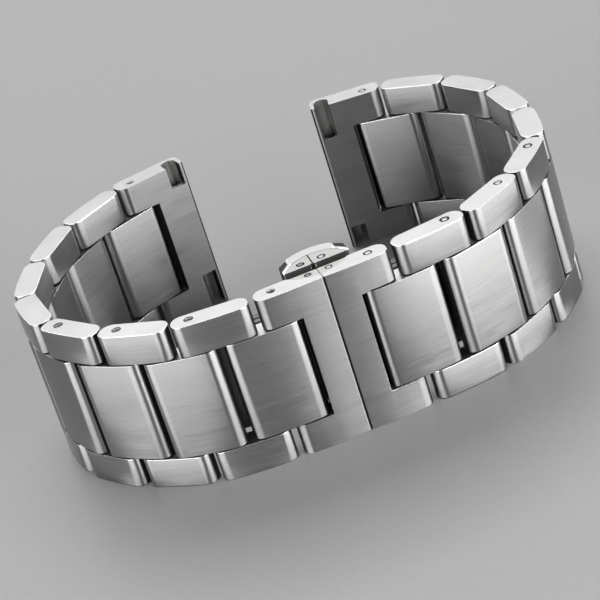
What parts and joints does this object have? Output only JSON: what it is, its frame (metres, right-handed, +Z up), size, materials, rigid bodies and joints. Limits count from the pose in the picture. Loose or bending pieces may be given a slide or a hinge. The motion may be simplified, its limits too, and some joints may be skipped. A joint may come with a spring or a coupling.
{
  "type": "link watch bracelet",
  "caption": "Solid-link watch bracelet standing on edge as a closed loop, with hinged links, open ends for a watch case and a butterfly clasp with push pieces.",
  "frame": {"origin": "middle of the loop's footprint, on the edge that the bracelet stands on", "axes": "+Z up along the link pins; +X across the loop, along the clasp; -Y is the outer face of the clasp and +Y the gap for the watch case"},
  "size_m": [0.0717, 0.0526, 0.022],
  "materials": {
    "link_steel": "fine brushed outer and wrist faces, satin edges",
    "center_steel": "fine brushed faces, polished ends",
    "clasp_steel": "satin edges, brushed faces",
    "polished_steel": "polished",
    "blade_steel": "brushed",
    "pin_steel": "ground",
    "spring_steel": "drawn wire"
  },
  "bodies": {
    "base": {"clasp_base": "blade_steel", "clasp_pins": "pin_steel", "clasp_cover": "polished_steel", "pusher_springs": "spring_steel"},
    "pusher_top": {"pusher_top": "clasp_steel"},
    "pusher_bottom": {"pusher_bottom": "clasp_steel"},
    "arm_left": {"arm_left": "blade_steel"},
    "clasp_end_left": {"clasp_end_left": "clasp_steel", "clasp_end_pins_left": "pin_steel"},
    "center_left_1": {"center_link_left_1": "center_steel"},
    "pair_left_1": {"outer_links_left_1": "link_steel", "link_pins_left_1": "pin_steel"},
    "center_left_2": {"center_link_left_2": "center_steel"},
    "pair_left_2": {"outer_links_left_2": "link_steel", "link_pins_left_2": "pin_steel"},
    "center_left_3": {"center_link_left_3": "center_steel"},
    "pair_left_3": {"outer_links_left_3": "link_steel", "link_pins_left_3": "pin_steel"},
    "center_left_4": {"center_link_left_4": "center_steel"},
    "pair_left_4": {"outer_links_left_4": "link_steel", "link_pins_left_4": "pin_steel"},
    "center_left_5": {"center_link_left_5": "center_steel"},
    "pair_left_5": {"outer_links_left_5": "link_steel", "link_pins_left_5": "pin_steel"},
    "center_left_6": {"center_link_left_6": "center_steel"},
    "pair_left_6": {"outer_links_left_6": "link_steel", "link_pins_left_6": "pin_steel"},
    "center_left_7": {"center_link_left_7": "center_steel"},
    "pair_left_7": {"outer_links_left_7": "link_steel", "link_pins_left_7": "pin_steel"},
    "center_left_8": {"center_link_left_8": "center_steel"},
    "end_left": {"end_link_left": "link_steel", "end_link_pin_left": "pin_steel"},
    "arm_right": {"arm_right": "blade_steel"},
    "clasp_end_right": {"clasp_end_right": "clasp_steel", "clasp_end_pins_right": "pin_steel"},
    "center_right_1": {"center_link_right_1": "center_steel"},
    "pair_right_1": {"outer_links_right_1": "link_steel", "link_pins_right_1": "pin_steel"},
    "center_right_2": {"center_link_right_2": "center_steel"},
    "pair_right_2": {"outer_links_right_2": "link_steel", "link_pins_right_2": "pin_steel"},
    "center_right_3": {"center_link_right_3": "center_steel"},
    "pair_right_3": {"outer_links_right_3": "link_steel", "link_pins_right_3": "pin_steel"},
    "center_right_4": {"center_link_right_4": "center_steel"},
    "pair_right_4": {"outer_links_right_4": "link_steel", "link_pins_right_4": "pin_steel"},
    "center_right_5": {"center_link_right_5": "center_steel"},
    "pair_right_5": {"outer_links_right_5": "link_steel", "link_pins_right_5": "pin_steel"},
    "center_right_6": {"center_link_right_6": "center_steel"},
    "pair_right_6": {"outer_links_right_6": "link_steel", "link_pins_right_6": "pin_steel"},
    "center_right_7": {"center_link_right_7": "center_steel"},
    "pair_right_7": {"outer_links_right_7": "link_steel", "link_pins_right_7": "pin_steel"},
    "center_right_8": {"center_link_right_8": "center_steel"},
    "end_right": {"end_link_right": "link_steel", "end_link_pin_right": "pin_steel"}
  },
  "joints": [
    {"name": "pusher_top_press", "type": "slide", "parent": "base", "child": "pusher_top", "axis": [0, 0, -1], "range_m": [0, 0.0008], "stiffness_N_per_m": 600, "springref_m": -0.0005, "deforming": ["pusher_springs"]},
    {"name": "pusher_bottom_press", "type": "slide", "parent": "base", "child": "pusher_bottom", "axis": [0, 0, 1], "range_m": [0, 0.0008], "stiffness_N_per_m": 600, "springref_m": -0.0005, "deforming": ["pusher_springs"]},
    {"name": "arm_left_hinge", "type": "hinge", "parent": "base", "child": "arm_left", "pos_m": [-0.01625, -0.01966, 0.011], "axis": [0, 0, -1], "range_deg": [0, 165]},
    {"name": "clasp_end_left_hinge", "type": "hinge", "parent": "arm_left", "child": "clasp_end_left", "pos_m": [-0.00231, -0.02376, 0.011], "axis": [0, 0, -1], "range_deg": [-165, 0]},
    {"name": "hinge_left_1", "type": "hinge", "parent": "clasp_end_left", "child": "center_left_1", "pos_m": [-0.00725, -0.02446, 0.011], "axis": [0, 0, -1], "range_deg": [-9, 2]},
    {"name": "hinge_left_2", "type": "hinge", "parent": "center_left_1", "child": "pair_left_1", "pos_m": [-0.01253, -0.02409, 0.011], "axis": [0, 0, -1], "range_deg": [-10, 4]},
    {"name": "hinge_left_3", "type": "hinge", "parent": "pair_left_1", "child": "center_left_2", "pos_m": [-0.01757, -0.02329, 0.011], "axis": [0, 0, -1], "range_deg": [-18, 3]},
    {"name": "hinge_left_4", "type": "hinge", "parent": "center_left_2", "child": "pair_left_2", "pos_m": [-0.02207, -0.02147, 0.011], "axis": [0, 0, -1], "range_deg": [-19, 2]},
    {"name": "hinge_left_5", "type": "hinge", "parent": "pair_left_2", "child": "center_left_3", "pos_m": [-0.02583, -0.01874, 0.011], "axis": [0, 0, -1], "range_deg": [-13, 8]},
    {"name": "hinge_left_6", "type": "hinge", "parent": "center_left_3", "child": "pair_left_3", "pos_m": [-0.02932, -0.01537, 0.011], "axis": [0, 0, -1], "range_deg": [-17, 5]},
    {"name": "hinge_left_7", "type": "hinge", "parent": "pair_left_3", "child": "center_left_4", "pos_m": [-0.03192, -0.01152, 0.011], "axis": [0, 0, -1], "range_deg": [-19, 3]},
    {"name": "hinge_left_8", "type": "hinge", "parent": "center_left_4", "child": "pair_left_4", "pos_m": [-0.03358, -0.00696, 0.011], "axis": [0, 0, -1], "range_deg": [-19, 4]},
    {"name": "hinge_left_9", "type": "hinge", "parent": "pair_left_4", "child": "center_left_5", "pos_m": [-0.03406, -0.00233, 0.011], "axis": [0, 0, -1], "range_deg": [-19, 4]},
    {"name": "hinge_left_10", "type": "hinge", "parent": "center_left_5", "child": "pair_left_5", "pos_m": [-0.03339, 0.00247, 0.011], "axis": [0, 0, -1], "range_deg": [-18, 6]},
    {"name": "hinge_left_11", "type": "hinge", "parent": "pair_left_5", "child": "center_left_6", "pos_m": [-0.03172, 0.00681, 0.011], "axis": [0, 0, -1], "range_deg": [-12, 12]},
    {"name": "hinge_left_12", "type": "hinge", "parent": "center_left_6", "child": "pair_left_6", "pos_m": [-0.02945, 0.01109, 0.011], "axis": [0, 0, -1], "range_deg": [-13, 12]},
    {"name": "hinge_left_13", "type": "hinge", "parent": "pair_left_6", "child": "center_left_7", "pos_m": [-0.02671, 0.01485, 0.011], "axis": [0, 0, -1], "range_deg": [-16, 9]},
    {"name": "hinge_left_14", "type": "hinge", "parent": "center_left_7", "child": "pair_left_7", "pos_m": [-0.02317, 0.01816, 0.011], "axis": [0, 0, -1], "range_deg": [-15, 11]},
    {"name": "hinge_left_15", "type": "hinge", "parent": "pair_left_7", "child": "center_left_8", "pos_m": [-0.01927, 0.0207, 0.011], "axis": [0, 0, -1], "range_deg": [-15, 11]},
    {"name": "hinge_left_16", "type": "hinge", "parent": "center_left_8", "child": "end_left", "pos_m": [-0.0148, 0.02259, 0.011], "axis": [0, 0, -1], "range_deg": [-17, 10]},
    {"name": "arm_right_hinge", "type": "hinge", "parent": "base", "child": "arm_right", "pos_m": [0.01435, -0.01966, 0.011], "axis": [0, 0, 1], "range_deg": [0, 165]},
    {"name": "clasp_end_right_hinge", "type": "hinge", "parent": "arm_right", "child": "clasp_end_right", "pos_m": [0.00041, -0.02376, 0.011], "axis": [0, 0, 1], "range_deg": [-165, 0]},
    {"name": "hinge_right_1", "type": "hinge", "parent": "clasp_end_right", "child": "center_right_1", "pos_m": [0.00535, -0.02446, 0.011], "axis": [0, 0, 1], "range_deg": [-7, 4]},
    {"name": "hinge_right_2", "type": "hinge", "parent": "center_right_1", "child": "pair_right_1", "pos_m": [0.01065, -0.02427, 0.011], "axis": [0, 0, 1], "range_deg": [-10, 4]},
    {"name": "hinge_right_3", "type": "hinge", "parent": "pair_right_1", "child": "center_right_2", "pos_m": [0.01571, -0.02365, 0.011], "axis": [0, 0, 1], "range_deg": [-16, 5]},
    {"name": "hinge_right_4", "type": "hinge", "parent": "center_right_2", "child": "pair_right_2", "pos_m": [0.02032, -0.02215, 0.011], "axis": [0, 0, 1], "range_deg": [-19, 2]},
    {"name": "hinge_right_5", "type": "hinge", "parent": "pair_right_2", "child": "center_right_3", "pos_m": [0.02427, -0.01969, 0.011], "axis": [0, 0, 1], "range_deg": [-13, 8]},
    {"name": "hinge_right_6", "type": "hinge", "parent": "center_right_3", "child": "pair_right_3", "pos_m": [0.02798, -0.01657, 0.011], "axis": [0, 0, 1], "range_deg": [-16, 6]},
    {"name": "hinge_right_7", "type": "hinge", "parent": "pair_right_3", "child": "center_right_4", "pos_m": [0.03091, -0.01296, 0.011], "axis": [0, 0, 1], "range_deg": [-20, 2]},
    {"name": "hinge_right_8", "type": "hinge", "parent": "center_right_4", "child": "pair_right_4", "pos_m": [0.03288, -0.00853, 0.011], "axis": [0, 0, 1], "range_deg": [-18, 5]},
    {"name": "hinge_right_9", "type": "hinge", "parent": "pair_right_4", "child": "center_right_5", "pos_m": [0.03377, -0.00396, 0.011], "axis": [0, 0, 1], "range_deg": [-12, 11]},
    {"name": "hinge_right_10", "type": "hinge", "parent": "center_right_5", "child": "pair_right_5", "pos_m": [0.03411, 0.00088, 0.011], "axis": [0, 0, 1], "range_deg": [-12, 12]},
    {"name": "hinge_right_11", "type": "hinge", "parent": "pair_right_5", "child": "center_right_6", "pos_m": [0.03386, 0.00552, 0.011], "axis": [0, 0, 1], "range_deg": [-16, 8]},
    {"name": "hinge_right_12", "type": "hinge", "parent": "center_right_6", "child": "pair_right_6", "pos_m": [0.03269, 0.01023, 0.011], "axis": [0, 0, 1], "range_deg": [-16, 9]},
    {"name": "hinge_right_13", "type": "hinge", "parent": "pair_right_6", "child": "center_right_7", "pos_m": [0.03073, 0.01444, 0.011], "axis": [0, 0, 1], "range_deg": [-17, 8]},
    {"name": "hinge_right_14", "type": "hinge", "parent": "center_right_7", "child": "pair_right_7", "pos_m": [0.02781, 0.01831, 0.011], "axis": [0, 0, 1], "range_deg": [-19, 7]},
    {"name": "hinge_right_15", "type": "hinge", "parent": "pair_right_7", "child": "center_right_8", "pos_m": [0.02419, 0.02124, 0.011], "axis": [0, 0, 1], "range_deg": [-19, 7]},
    {"name": "hinge_right_16", "type": "hinge", "parent": "center_right_8", "child": "end_right", "pos_m": [0.0198, 0.02329, 0.011], "axis": [0, 0, 1], "range_deg": [-19, 8]}
  ],
  "couplings": [
    {"joint": "clasp_end_left_hinge", "follows": "arm_left_hinge", "ratio": -1},
    {"joint": "clasp_end_right_hinge", "follows": "arm_right_hinge", "ratio": -1}
  ]
}
